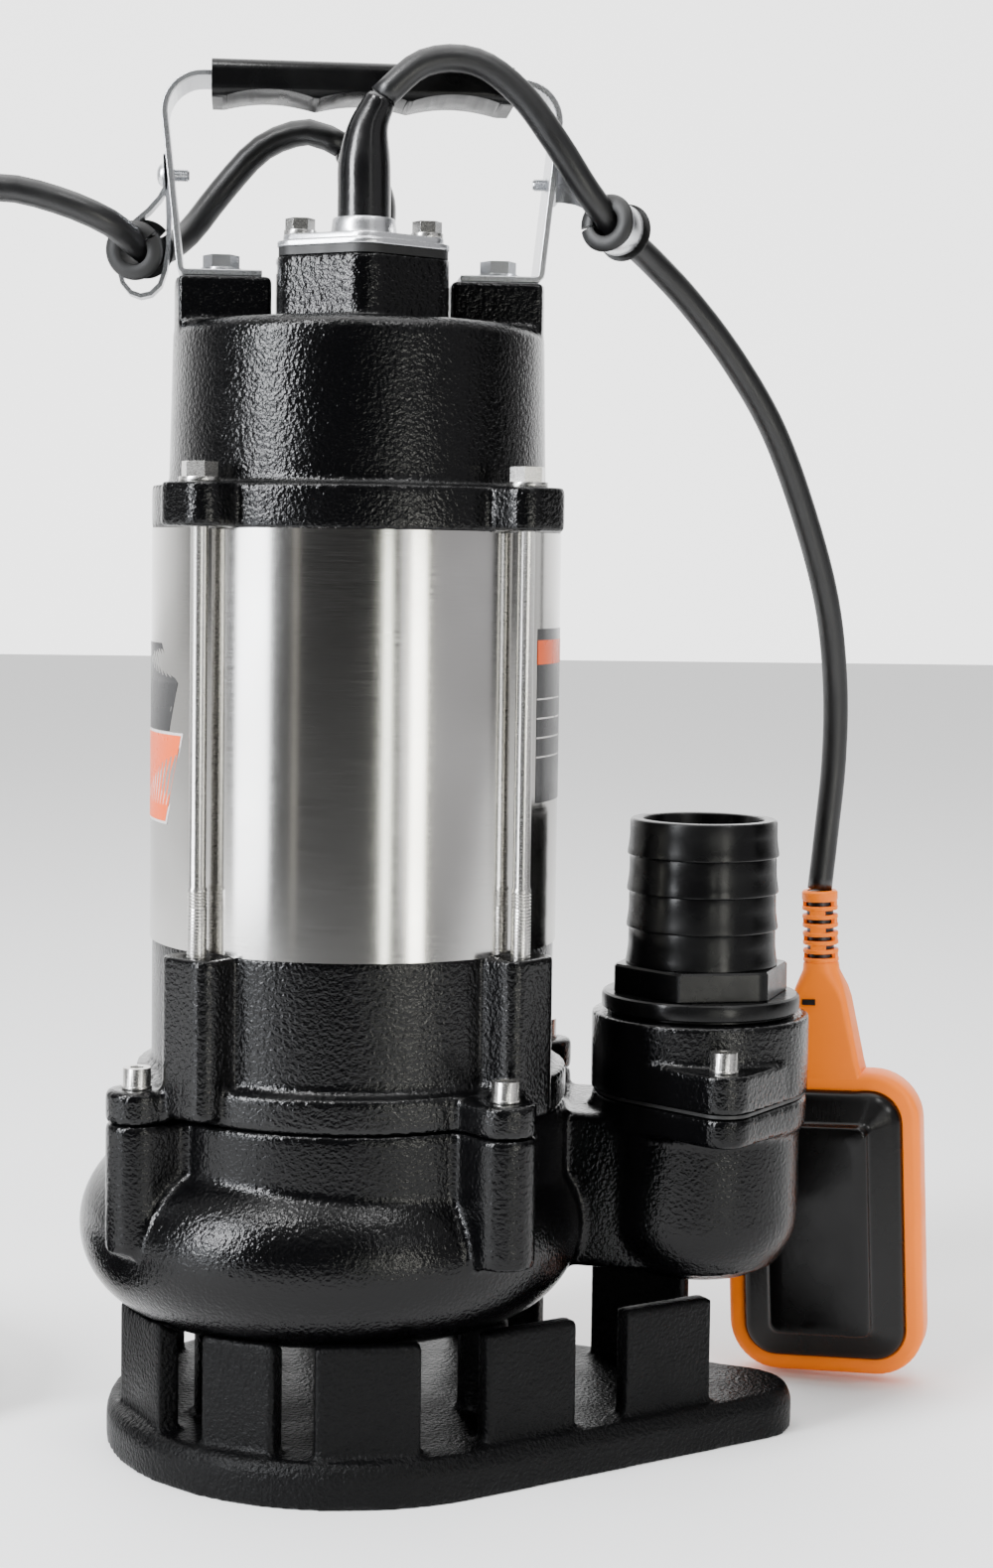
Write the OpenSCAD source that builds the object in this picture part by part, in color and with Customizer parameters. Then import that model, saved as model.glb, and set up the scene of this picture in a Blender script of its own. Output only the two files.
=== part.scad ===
// Submersible sump pump: strainer foot, scroll casing, oil chamber, dry motor in a steel barrel,
// cast cover with carrying handle, side outlet with a hose tail, and a tethered float switch.
// The shaft axis is Z, the ground is z = 0, the outlet is towards +X and the front towards -Y.

/* [Strainer foot] */
// Radius of the big end of the foot plate
foot_r = 78; // [76:0.5:80]
// Radius of the small end of the foot plate, under the outlet
toe_r = 20; // [18:0.5:22]
// Distance from the shaft axis to the centre of the small end
toe_x = 126; // [122:1:130]
// Thickness of the foot plate
foot_t = 14; // [12:0.5:16]
// Height of the tops of the strainer blades
blade_top = 48; // [46:0.5:50]

/* [Castings] */
// Radius of the round tube that the scroll is made of
scroll_tube_r = 27; // [26:0.5:28]
// Radius of the scroll at the middle of its tube
scroll_mid_r = 54; // [53:0.5:55]
// Radius of the oil chamber casing
housing_r = 64.3; // [63.8:0.1:64.8]
// Thickness of the cast walls
wall_t = 5; // [4:0.5:6]

/* [Motor] */
// Outer radius of the motor barrel
barrel_r = 65; // [64.6:0.1:65.4]
// Length of the motor barrel
barrel_len = 129.3; // [128:0.1:131]
// Radial gap between the rotor and the stator
air_gap = 0.5; // [0.4:0.05:0.8]
// Number of stator slots
slot_count = 24; // [18, 24, 30]

/* [Outlet] */
// Distance from the shaft axis to the outlet axis
outlet_x = 113.5; // [112:0.5:115]
// Bore radius of the hose tail
hose_bore_r = 19.5; // [18:0.5:20]
// Radius of the hose tail between its barbs
hose_r = 23.9; // [23.5:0.1:24.3]

/* [Handle] */
// Height of the top of the carrying strap
handle_top = 433; // [430:1:436]
// Width of the strap
strap_w = 25; // [22:1:26]
// Thickness of the strap
strap_t = 2; // [1.5:0.25:2.5]

/* [Float switch] */
// Width of the float
float_w = 68; // [64:1:70]
// Height of the float's body
float_h = 106; // [100:1:108]
// Thickness of the float over its two shells
float_t = 38; // [34:1:40]
// Turn of the float about its own axis
float_yaw = -22; // [-30:1:-14]
// Lean of the float from the vertical
float_lean = 2.5; // [0:0.5:4]

/* [Cords] */
// Diameter of the power cord and of the float's cable
cord_d = 8.6; // [8:0.1:9]
// Radius of the put-away coil at the middle of its turns
coil_mid_r = 54; // [52:1:56]
// Number of turns side by side, and of layers, in the coil
coil_rows = 5; // [4:1:5]

/* [Hidden] */
$fn = 64;
eps = 0.01;
fit = 0.02;

// Heights of the joint faces, from the ground up
scroll_z = 70;
casing_z = scroll_z - scroll_tube_r;
seam_z = 111;
barrel_z = 162.3;
flange_z = barrel_z + barrel_len;
shoulder_z = flange_z + 13.4;
cover_z = 355.5;
boss_z = 370;
gland_z = 375;
plate_z = gland_z + 2.5;
collar_z = 387;

// The scroll grows round the shaft, so its ring sits off the shaft axis
scroll_at = [-6, 2, 0];
lug_circle_r = 80;
lug_angles = [33, 123, 213, 303];
lug_r = 9.5;
lug_top = seam_z + 10;
bolt_circle_r = 69.5;
bolt_angles = [45, 135, 225, 315];
post_circle_r = 48;
post_angles = [90, 210, 330];
spigot_r = 57.8;
bore_r = 58;

// Shaft and what is on it
shaft_foot = 56;
seat_r = 6;
seal_r = 7.5;
low_bearing = [8.5, 20, 12, 14.25, 3.3, 7];
low_bearing_z = barrel_z - 12;
top_bearing = [7.5, 17.5, 11, 12.5, 2.9, 8];
top_bearing_z = 284.5;
core_r = 11;
rotor_r = 32;
rotor_z = [192, 260];
stator_z = [190, 262];
stator_r = barrel_r - 1.15;

// Outlet
gasket_z = 111.5;
outlet_flange_z = 112.5;
flange_top = 124.5;
neck_top = 137.5;
collar_low = 138.5;
hex_z = 144;
barb_z = 153.3;
hose_top = 200.4;
screw_y = 40;

// Handle
leg_foot_x = 57.5;
leg_lean = 5;
handle_screw_x = 43.8;
clip_z = 402;

// Glands, front one for the float's cable and rear one for the power cord
gland_y = 24;
gland_x = [0, 4];

// Clips: place of each cord bush and the way that it is turned
bush_at = [[-69.2, -1, 378.5], [80, -10, 388]];
bush_turn = [[8, 0, -14], [-8, 0, -36]];
bush_r = 9.2;
// Where each clip's strap runs onto its band, as [x, z], and its [middle, width] along Y
clip_side = [[-71, 386], [80, 394.2]];
clip_strap = [[-0.5, 9], [-5.6, 6]];
bush_len = 16;

// Float
float_pivot = [163.5, 52, 171];
float_drop = 63;
relief_len = 26;

// Cord routes, from the strain relief outwards
float_route = [
    [5, -24, 424], [18, -23, 435], [34, -22, 436], [48, -21, 427], [60, -20, 412], [70, -17, 398],
    [80, -10, 388], [92, 0, 380], [107, 8, 367], [123, 15, 349], [138, 22, 327], [151, 31, 299],
    [161, 39, 270], [166, 46, 242], [167, 50, 216], [165.5, 52, 192], [163.5, 52, 171]];
power_route = [
    [-4, 26, 416], [-16, 28, 421], [-31, 31, 416], [-44, 32, 402], [-55, 26, 387], [-64, 13, 379],
    [-69, -4, 379], [-78, -16, 385], [-94, -20, 391], [-112, -21, 394], [-131, -21, 389],
    [-146, -21, 374], [-155, -20, 353], [-160, -19, 328], [-161, -18, 300], [-160, -17, 270],
    [-159, -16, 240], [-157, -15, 210], [-155, -14, 180], [-153, -14, 150], [-152, -14, 120],
    [-151, -13, 95], [-151, -9, 73], [-151, 3, 54], [-151, 20, 44], [-151, 40, 39]];
tail_route = [[-276.4, 40, 4.3], [-276.4, 26, 5], [-276.4, 13, 9], [-276.4, 0, 13]];
float_boot_route = [[0, -24, 382], [0, -24, 394], [0, -24, 405], [1.5, -24, 415], [5, -24, 424]];
power_boot_route = [[4, 24, 382], [4, 24, 390], [4, 24, 398], [1, 25, 408], [-4, 26, 416]];
boot_r = [8.25, 8.25, 8.1, 6.6, 5.3];
coil_at = [-205, 40];
coil_half = coil_rows * (cord_d + 0.05) / 2;
plug_at = [tail_route[3][0], 0, 13];

BLACK = "#1b1b1d";
PLASTIC = "#202022";
RUBBER = "#161616";
STEEL = "#c4c6c8";
ZINC = "#b9bcc0";
ORANGE = "#ee7a1d";
COPPER = "#b5672e";
IRON = "#6d7176";

// ---- helpers ----

function unit(v) = v / norm(v);
function polar(r, a) = [r * cos(a), r * sin(a)];

// Directions along a route, and a side direction carried along it without twisting
function along(p) = [for (i = [0 : len(p) - 1])
    unit(p[min(i + 1, len(p) - 1)] - p[max(i - 1, 0)])];
function sides(t, i, n) = i == len(t) ? [] :
    let (s = unit(n - (n * t[i]) * t[i])) concat([s], sides(t, i + 1, s));

// Round tube swept along a route, with its own radius at each point
module tube(route, radii, count = 10) {
    t = along(route);
    s = sides(t, 0, abs(t[0].y) < 0.9 ? [0, 1, 0] : [0, 0, 1]);
    last = len(route) - 1;
    points = [for (i = [0 : last]) for (j = [0 : count - 1])
        let (a = 360 * j / count)
        route[i] + radii[i] * (cos(a) * s[i] + sin(a) * cross(t[i], s[i]))];
    skin = [for (i = [0 : last - 1]) for (j = [0 : count - 1])
        let (a = i * count + j, b = i * count + (j + 1) % count)
        each [[a, a + count, b + count], [a, b + count, b]]];
    polyhedron(points, concat(skin, [[for (j = [0 : count - 1]) j],
        [for (j = [count - 1 : -1 : 0]) last * count + j]]));
}
function same(route, r) = [for (p = route) r];

// Two circles and the straight sides that touch both
module link2(p, rp, q, rq) {
    d = q - p;
    a = atan2(d.y, d.x);
    b = acos((rp - rq) / norm(d));
    translate(p) circle(rp);
    translate(q) circle(rq);
    polygon([p + polar(rp, a + b), p + polar(rp, a - b), q + polar(rq, a - b), q + polar(rq, a + b)]);
}

// Four-cornered outline with a circle at each corner: two side lobes and two middle lobes
module rhombus(side, side_r, mid, mid_r) {
    for (sx = [-1, 1]) for (sy = [-1, 1]) link2([sx * side, 0], side_r, [0, sy * mid], mid_r);
    polygon([[side, 0], [0, mid], [-side, 0], [0, -mid]]);
}

module round_rect(w, h, r) {
    square([w - 2 * r, h], center = true);
    square([w, h - 2 * r], center = true);
    for (x = [-1, 1]) for (y = [-1, 1]) translate([x * (w / 2 - r), y * (h / 2 - r)]) circle(r);
}

// Half outline of a cup, for turning: flat bottom at z0 with a round edge, flat top at z1
module cup2(r, z0, z1, edge) {
    translate([0, z0 + edge]) square([r, z1 - z0 - edge]);
    translate([0, z0]) square([r - edge, edge + eps]);
    intersection() {
        translate([r - edge, z0 + edge]) circle(edge);
        translate([r - edge, z0]) square([edge, edge + eps]);
    }
}

module ring(r_in, r_out, z0, z1) {
    translate([0, 0, z0]) difference() {
        cylinder(r = r_out, h = z1 - z0);
        translate([0, 0, -1]) cylinder(r = r_in, h = z1 - z0 + 2);
    }
}

module at_angles(r, angles) {
    for (a = angles) rotate([0, 0, a]) translate([r, 0, 0]) children();
}

// Hexagon head screw standing on z = 0 with its washer, shank below
module hex_screw(head_r, head_h, shank_r, shank_len, washer_r) {
    cylinder(r = washer_r, h = 1.4);
    translate([0, 0, 1.4 - eps]) cylinder(r = head_r, h = head_h + eps, $fn = 6);
    translate([0, 0, -shank_len]) cylinder(r = shank_r, h = shank_len + 1);
}

// Socket head cap screw standing on z = 0 with its washer
module cap_screw(shank_len) {
    cylinder(r = 4.6, h = 1);
    difference() {
        translate([0, 0, 1 - eps]) cylinder(r = 4.25, h = 5.5);
        translate([0, 0, 3.5]) cylinder(r = 2.3, h = 4, $fn = 6);
    }
    translate([0, 0, -shank_len]) cylinder(r = 2.45, h = shank_len + 1);
}

// ---- strainer foot ----

// Blade places round the big end, as [angle, width], on the front half
round_blades = [[203, 34], [240, 25], [272.5, 32]];
// Blade places along the straight side, as distances from where it leaves the big end
side_blades = [24, 76];
side_angle = acos((foot_r - toe_r) / toe_x);
blade_inset = 5.5;

module foot_outline(inset) {
    link2([0, 0], foot_r - inset, [toe_x, 0], toe_r - inset);
}

module blade(w) {
    translate([-3.5, 0, (foot_t + blade_top) / 2 - 0.5]) cube([7, w, blade_top - foot_t + 1], center = true);
}

module foot_blades() {
    for (b = round_blades) rotate([0, 0, b[0]])
        translate([foot_r - blade_inset, 0, 0]) blade(b[1]);
    for (s = side_blades) rotate([0, 0, -side_angle])
        translate([foot_r - blade_inset, s, 0]) blade(33);
}

module scroll_solid(grow) {
    translate(scroll_at) rotate_extrude() {
        translate([scroll_mid_r, scroll_z]) circle(scroll_tube_r + grow);
        translate([0, casing_z - grow]) square([scroll_mid_r, 2 * (scroll_tube_r + grow)]);
    }
}

module strainer_foot() {
    color(BLACK) difference() {
        union() {
            linear_extrude(foot_t - 4) foot_outline(0);
            linear_extrude(foot_t - 1.5) foot_outline(0.8);
            linear_extrude(foot_t) foot_outline(2.2);
            foot_blades();
            mirror([0, 1, 0]) foot_blades();
            at_angles(post_circle_r, post_angles) cylinder(r = 8, h = casing_z - fit);
        }
        scroll_solid(0.3);
        at_angles(post_circle_r, post_angles) {
            translate([0, 0, -1]) cylinder(r = 3.2, h = casing_z + 2);
            translate([0, 0, -1]) cylinder(r = 7, h = 8);
        }
    }
}

module foot_screws() {
    color(ZINC) at_angles(post_circle_r, post_angles) translate([0, 0, 7]) mirror([0, 0, 1])
        hex_screw(5.7, 4, 2.95, casing_z - 3.5, 6.4);
}

// ---- scroll casing ----

duct_from = [46, 24];

module lug2() {
    translate([-14, -lug_r]) square([14, 2 * lug_r]);
    circle(lug_r);
}

module outlet_outline(body_r) {
    for (s = [-1, 1]) link2([0, 0], body_r, [1, s * screw_y], 9);
}

module scroll_casing() {
    color(BLACK) difference() {
        union() {
            scroll_solid(0);
            translate([0, 0, scroll_z]) cylinder(r = 69, h = seam_z - scroll_z);
            at_angles(lug_circle_r, lug_angles) translate([0, 0, scroll_z + 1])
                linear_extrude(seam_z - scroll_z - 1) lug2();
            translate([0, 0, 56]) linear_extrude(50) link2(duct_from, 24, [outlet_x, 0], 27);
            translate([outlet_x, 0, 0]) {
                rotate_extrude() cup2(33, 52, gasket_z, 20);
                translate([0, 0, gasket_z - 10]) linear_extrude(10) outlet_outline(35);
            }
        }
        translate(scroll_at) rotate_extrude() translate([scroll_mid_r, scroll_z])
            circle(scroll_tube_r - wall_t);
        translate([0, 0, 50]) cylinder(r = 55, h = 48);
        translate([0, 0, 97]) cylinder(r = bore_r, h = 20);
        translate([0, 0, casing_z - 1]) cylinder(r = 23, h = 20);
        translate([0, 0, 61]) linear_extrude(38) link2(duct_from, 18, [outlet_x, 0], 20);
        translate([outlet_x, 0, 0]) {
            rotate_extrude() cup2(27, 58, gasket_z + 1, 14);
            for (s = [-1, 1]) translate([1, s * screw_y, gasket_z - 8]) cylinder(r = 2.5, h = 10);
        }
        at_angles(lug_circle_r, lug_angles) translate([0, 0, seam_z - 16]) cylinder(r = 2.5, h = 20);
        at_angles(post_circle_r, post_angles) translate([0, 0, casing_z - 1]) cylinder(r = 3, h = 5);
    }
}

// ---- impeller ----

vane_count = 6;

module vane2() {
    intersection() {
        translate([24, 4]) difference() {
            circle(26);
            circle(23);
        }
        difference() {
            circle(45);
            circle(10);
        }
        translate([0, 4]) square([50, 50]);
    }
}

module impeller() {
    color(IRON) difference() {
        union() {
            translate([0, 0, 66]) cylinder(r = 12, h = 26);
            translate([0, 0, 90]) cylinder(r = 46, h = 6);
            for (i = [0 : vane_count - 1]) rotate([0, 0, 360 * i / vane_count])
                translate([0, 0, 74]) linear_extrude(17) vane2();
        }
        translate([0, 0, 60]) cylinder(r = seat_r + fit, h = 40);
        translate([-2 - fit, 0, 60]) cube([4 + 2 * fit, 8, 40]);
    }
}

module impeller_nut() {
    color(STEEL) difference() {
        translate([0, 0, 58]) cylinder(r = 9.2, h = 8, $fn = 6);
        translate([0, 0, 57]) cylinder(r = 5 + fit, h = 10);
    }
}

module impeller_key() {
    color(STEEL) translate([-2, 3.5, 76]) cube([4, 4.3, 14]);
}

module rotor_shaft() {
    color(STEEL) difference() {
        rotate_extrude() polygon([
            [0, shaft_foot], [5, shaft_foot], [5, 66], [seat_r, 66], [seat_r, 96], [seal_r, 96],
            [seal_r, 142], [8.5, 142], [8.5, barrel_z + 1], [10, barrel_z + 1], [10, 182],
            [core_r, 182], [core_r, 270], [9, 270], [9, top_bearing_z - 1], [7.5, top_bearing_z - 1],
            [7.5, 296], [0, 296]]);
        translate([-2, 3.5, 76]) cube([4, 6, 14]);
    }
}

// ---- oil chamber casing and seals ----

// O-ring held in a groove whose outer radius is r
module o_ring(r, z, thick) {
    color(RUBBER) rotate_extrude() translate([r - thick, z]) circle(thick);
}

module casing_seal_ring() { o_ring(bore_r - fit, 104.5, 1.7); }

module oil_housing() {
    color(BLACK) difference() {
        union() {
            translate([0, 0, 99]) cylinder(r = spigot_r, h = 20);
            translate([0, 0, seam_z]) cylinder(r = 69, h = 11);
            translate([0, 0, seam_z]) cylinder(r = housing_r, h = barrel_z - seam_z);
            translate([0, 0, barrel_z - 1]) cylinder(r = barrel_r - 1.2, h = 9);
            at_angles(lug_circle_r, lug_angles) translate([0, 0, seam_z])
                linear_extrude(lug_top - seam_z) lug2();
            at_angles(bolt_circle_r, bolt_angles) translate([-4, 0, seam_z + 2])
                linear_extrude(barrel_z - seam_z - 2) round_rect(22, 21, 5);
            rotate([90, 0, 0]) translate([0, 136, -67]) cylinder(r = 9, h = 6);
        }
        translate([0, 0, 110]) cylinder(r = 57, h = 31);
        translate([0, 0, 90]) cylinder(r = 9.5, h = 30);
        translate([0, 0, 100.5]) cylinder(r = 14, h = 20);
        translate([0, 0, 140]) cylinder(r = 10, h = 40);
        translate([0, 0, 142.5]) cylinder(r = 15, h = 40);
        translate([0, 0, low_bearing_z]) cylinder(r = 20, h = 30);
        translate([0, 0, barrel_z]) cylinder(r = 59, h = 20);
        rotate_extrude() translate([bore_r - 3.5, 102.6]) square([10, 3.8]);
        rotate_extrude() translate([barrel_r - 4.4, barrel_z + 2.5]) square([10, 3.6]);
        at_angles(bolt_circle_r, bolt_angles) translate([0, 0, 140]) cylinder(r = 3, h = 40);
        at_angles(lug_circle_r, lug_angles) translate([0, 0, 100]) cylinder(r = 2.75, h = 40);
        rotate([90, 0, 0]) translate([0, 136, -70]) cylinder(r = 5, h = 20);
    }
}

module casing_screws() {
    color(STEEL) at_angles(lug_circle_r, lug_angles) translate([0, 0, lug_top]) cap_screw(22);
}

module oil_plug() {
    color(ZINC) translate([0, 0, 136]) rotate([-90, 0, 0]) difference() {
        union() {
            translate([0, 0, 56]) cylinder(r = 4.95, h = 12);
            translate([0, 0, 67]) cylinder(r = 7, h = 4);
        }
        translate([0, 0, 66]) cylinder(r = 3, h = 6, $fn = 6);
    }
}

module shaft_seal_seat() { color("#d8d2c4") ring(8.2, 14 - fit, 100.5, 108); }

module shaft_seal_face() { color("#2b2b2e") ring(seal_r, 12.5, 108.05, 118); }

spring_turns = 4;

module shaft_seal_spring() {
    route = [for (i = [0 : 10 * spring_turns])
        concat(polar(10.4, 36 * i), [119.2 + 9.8 * i / (10 * spring_turns)])];
    color(STEEL) tube(route, same(route, 0.9), 8);
}

module shaft_seal_collar() { color(ZINC) ring(seal_r, 12.5, 130.2, 135); }

module lip_seal() {
    color(RUBBER) rotate_extrude() polygon([
        [15 - fit, 142.5], [15 - fit, 149.5], [9.5, 149.5], [9.5, 148.3], [13, 148.3], [13, 145.5],
        [8.55, 144.6], [8.55, 143.8], [13, 143.4], [13, 142.5]]);
}

// ---- ball bearings: bore radius, outer radius, width, ball circle radius, ball radius, count ----

module bearing_outer(b, z) {
    color(STEEL) translate([0, 0, z]) rotate_extrude() difference() {
        translate([b[3] + 2.1, 0]) square([b[1] - b[3] - 2.1 - fit, b[2]]);
        translate([b[3], b[2] / 2]) circle(b[4] + 0.15);
    }
}

module bearing_inner(b, z) {
    color(STEEL) translate([0, 0, z]) rotate_extrude() difference() {
        translate([b[0], 0]) square([b[3] - 2.1 - b[0], b[2]]);
        translate([b[3], b[2] / 2]) circle(b[4] + 0.15);
    }
}

module bearing_balls(b, z) {
    places = [for (i = [0 : b[5] - 1]) 360 * i / b[5]];
    color(STEEL) translate([0, 0, z + b[2] / 2]) at_angles(b[3], places) sphere(b[4]);
    color("#8f7a4a") difference() {
        ring(b[3] - 0.9, b[3] + 0.9, z + 0.8, z + b[2] - 0.8);
        translate([0, 0, z + b[2] / 2]) at_angles(b[3], places) rotate([0, 90, 0])
            cylinder(r = b[4] + 0.1, h = 6, center = true);
    }
}

module lower_bearing_outer() { bearing_outer(low_bearing, low_bearing_z); }
module lower_bearing_inner() { bearing_inner(low_bearing, low_bearing_z); }
module lower_bearing_balls() { bearing_balls(low_bearing, low_bearing_z); }
module upper_bearing_outer() { bearing_outer(top_bearing, top_bearing_z); }
module upper_bearing_inner() { bearing_inner(top_bearing, top_bearing_z); }
module upper_bearing_balls() { bearing_balls(top_bearing, top_bearing_z); }

// ---- motor ----

module rotor_core() { color(IRON) ring(core_r, rotor_r, rotor_z[0], rotor_z[1]); }

module rotor_cage_rings() {
    color("#b8bcc0") {
        ring(19, rotor_r - 1, rotor_z[0] - 7, rotor_z[0]);
        ring(19, rotor_r - 1, rotor_z[1], rotor_z[1] + 7);
    }
}

slot_r = [38, 54];

module slots2(shrink) {
    for (i = [0 : slot_count - 1]) rotate([0, 0, 360 * i / slot_count]) polygon([
        [slot_r[0] + shrink, shrink - 2.6], [slot_r[1] - shrink, shrink - 4.2],
        [slot_r[1] - shrink, 4.2 - shrink], [slot_r[0] + shrink, 2.6 - shrink]]);
}

module stator_core() {
    color(IRON) translate([0, 0, stator_z[0]]) linear_extrude(stator_z[1] - stator_z[0]) difference() {
        circle(stator_r);
        circle(rotor_r + air_gap);
        slots2(0);
    }
}

module stator_windings() {
    color(COPPER) {
        translate([0, 0, stator_z[0] - 1]) linear_extrude(stator_z[1] - stator_z[0] + 2) slots2(0.3);
        for (z = [stator_z[0] - 15, stator_z[1] + 0.4]) rotate_extrude()
            translate([47, z + 7.3]) round_rect(20, 14.6, 4);
    }
}

module thermal_protector() {
    color("#303134") translate([-6, 38, 277.5]) cube([12, 18, 4.5]);
}

module motor_barrel() { color(STEEL) ring(barrel_r - 1, barrel_r, barrel_z, flange_z); }

module lower_barrel_seal() { o_ring(barrel_r - 1 - fit, barrel_z + 4.3, 1.6); }
module upper_barrel_seal() { o_ring(barrel_r - 1 - fit, flange_z - 2.7, 1.1); }

module upper_bearing_plate() {
    color(IRON) difference() {
        union() {
            translate([0, 0, 280]) cylinder(r = barrel_r - 1.2, h = 6);
            translate([0, 0, 280]) cylinder(r = 25, h = 17);
        }
        translate([0, 0, 270]) cylinder(r = 10, h = 40);
        translate([0, 0, top_bearing_z]) cylinder(r = top_bearing[1], h = 20);
        at_angles(42, [45, 135, 225, 315]) translate([0, 0, 270]) cylinder(r = 8, h = 40);
        translate([-7, 37, 270]) cube([14, 20, 40]);
    }
}

// ---- top cover ----

module gland_outline(inset) { rhombus(19, 7.5 - inset, 10, 9.5 - inset); }

module handle_bosses() {
    intersection() {
        translate([0, 0, cover_z - 14]) cylinder(r = 58.4, h = boss_z - cover_z + 14);
        for (s = [-1, 1]) translate([s * 43.5, 0, boss_z - 20]) cube([31, 30, 40], center = true);
    }
}

module top_cover() {
    color(BLACK) difference() {
        union() {
            translate([0, 0, flange_z]) cylinder(r = barrel_r, h = shoulder_z - flange_z);
            at_angles(bolt_circle_r, bolt_angles) translate([-4, 0, (flange_z + shoulder_z) / 2])
                linear_extrude(shoulder_z - flange_z, center = true) round_rect(27, 22, 7);
            translate([0, 0, shoulder_z - 1]) cylinder(r1 = 59.8, r2 = 58.7, h = cover_z - 3 - shoulder_z + 1);
            mirror([0, 0, 1]) translate([0, 0, -cover_z]) rotate_extrude() cup2(58.7, 0, 8, 5);
            ring(barrel_r - 4.5, barrel_r - 1.2, flange_z - 5.4, flange_z + 1);
            handle_bosses();
            for (s = [-1, 1]) translate([0, s * gland_y, cover_z - 8]) linear_extrude(gland_z - cover_z + 8)
                gland_outline(0);
        }
        translate([0, 0, flange_z - 10]) cylinder(r = 53, h = 348 - flange_z + 10);
        rotate_extrude() translate([barrel_r - 3.4, flange_z - 3.9]) square([10, 2.4]);
        for (i = [0, 1]) translate([gland_x[i], (2 * i - 1) * gland_y, 340]) cylinder(r = 8.6, h = 40);
        for (x = [-1, 1]) for (y = [-1, 1]) translate([x * 19.5, y * gland_y, gland_z - 9])
            cylinder(r = 2.5, h = 10);
        for (x = [-1, 1]) translate([x * handle_screw_x, 0, boss_z - 14]) cylinder(r = 3, h = 20);
        at_angles(bolt_circle_r, bolt_angles) translate([0, 0, flange_z - 10]) cylinder(r = 3.3, h = 40);
    }
}

module tie_bolts() {
    color(STEEL) at_angles(bolt_circle_r, bolt_angles) {
        translate([0, 0, shoulder_z]) {
            cylinder(r = 6.3, h = 1.5);
            translate([0, 0, 1.5 - eps]) cylinder(r = 5.65, h = 4.6, $fn = 6);
        }
        translate([0, 0, 176]) cylinder(r = 2.65, h = shoulder_z - 175);
        translate([0, 0, 146]) cylinder(r = 2.95, h = 31);
    }
}

module run_capacitor() {
    color("#d9dadb") translate([-29, -20, 314.05]) rotate([0, 90, 0]) cylinder(r = 17, h = 56);
    color(RUBBER) translate([27 - eps, -20, 314.05]) rotate([0, 90, 0]) cylinder(r = 10, h = 5);
}

module terminal_block() {
    color("#e6e3da") difference() {
        translate([-24, 14, 297]) cube([48, 20, 25]);
        for (i = [0 : 3]) for (y = [19, 29]) translate([12 * i - 18, y, 312]) cylinder(r = 2.6, h = 12);
    }
}

// ---- glands ----

module gland_gaskets() {
    color(RUBBER) for (i = [0, 1]) difference() {
        translate([0, (2 * i - 1) * gland_y, gland_z]) linear_extrude(plate_z - gland_z) gland_outline(0.4);
        translate([gland_x[i], (2 * i - 1) * gland_y, gland_z - 1]) cylinder(r = 8.6, h = 5);
        for (x = [-1, 1]) translate([x * 19.5, (2 * i - 1) * gland_y, gland_z - 1]) cylinder(r = 2.6, h = 5);
    }
}

module gland_plates() {
    color(ZINC) for (i = [0, 1]) difference() {
        union() {
            translate([0, (2 * i - 1) * gland_y, plate_z]) {
                linear_extrude(2) gland_outline(0);
                linear_extrude(4) gland_outline(1.8);
            }
            translate([gland_x[i], (2 * i - 1) * gland_y, plate_z])
                cylinder(r1 = 11, r2 = 9.6, h = collar_z - plate_z);
        }
        translate([gland_x[i], (2 * i - 1) * gland_y, plate_z - 1]) cylinder(r = 8.4, h = 20);
        for (x = [-1, 1]) translate([x * 19.5, (2 * i - 1) * gland_y, plate_z - 1]) cylinder(r = 2.6, h = 9);
    }
}

module gland_screws() {
    color(STEEL) for (x = [-1, 1]) for (y = [-1, 1])
        translate([x * 19.5, y * gland_y, plate_z + 4]) hex_screw(4.6, 3.6, 2.45, 14, 5);
}

module float_cable_boot() { color(RUBBER) tube(float_boot_route, boot_r, 16); }
module power_cord_boot() { color(RUBBER) tube(power_boot_route, boot_r, 16); }

// ---- handle ----

bend_r = 13;
leg_angle = atan(leg_lean / (handle_top - boss_z));

// One side of the strap's bent outline, foot to crown, at a distance inside its outer face
function strap_side(inset) = let (
        foot = [leg_foot_x - inset, boss_z + 3],
        top = [leg_foot_x + leg_lean - bend_r, handle_top - bend_r])
    concat(
        [[31, boss_z + inset]],
        [for (a = [-90 : 30 : 0]) foot - [3 - inset, 0] + polar(3 - inset, a)],
        [for (a = [0 : 10 : 90]) top + polar(bend_r - inset, a)]);

module strap_outline() {
    outer = strap_side(0);
    inner = strap_side(strap_t);
    right = concat([for (i = [len(outer) - 1 : -1 : 0]) outer[i]], inner);
    polygon(concat(right, [for (i = [len(right) - 1 : -1 : 0]) [-right[i].x, right[i].y]]));
}

module handle_strap() {
    color(ZINC) difference() {
        rotate([90, 0, 0]) linear_extrude(strap_w, center = true) strap_outline();
        for (x = [-1, 1]) {
            translate([x * handle_screw_x, 0, boss_z - 1]) cylinder(r = 3.2, h = 5);
            translate([x * 50, 0, clip_z]) rotate([0, x * 90, 0]) cylinder(r = 2.2, h = 15);
        }
    }
}

grip_len = 94;
grip_z = [424.6, 436.5];

module handle_grip() {
    color(PLASTIC) difference() {
        translate([-grip_len / 2, 0, 0]) rotate([90, 0, 90]) linear_extrude(grip_len)
            translate([0, (grip_z[0] + grip_z[1]) / 2]) round_rect(30, grip_z[1] - grip_z[0], 3.5);
        translate([0, 0, handle_top - strap_t / 2]) cube([grip_len + 2, strap_w, strap_t], center = true);
        for (x = [-1, 0, 1]) translate([x * 29, 20, grip_z[0] - 42.5]) rotate([90, 0, 0])
            cylinder(r = 45, h = 40);
    }
}

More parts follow.
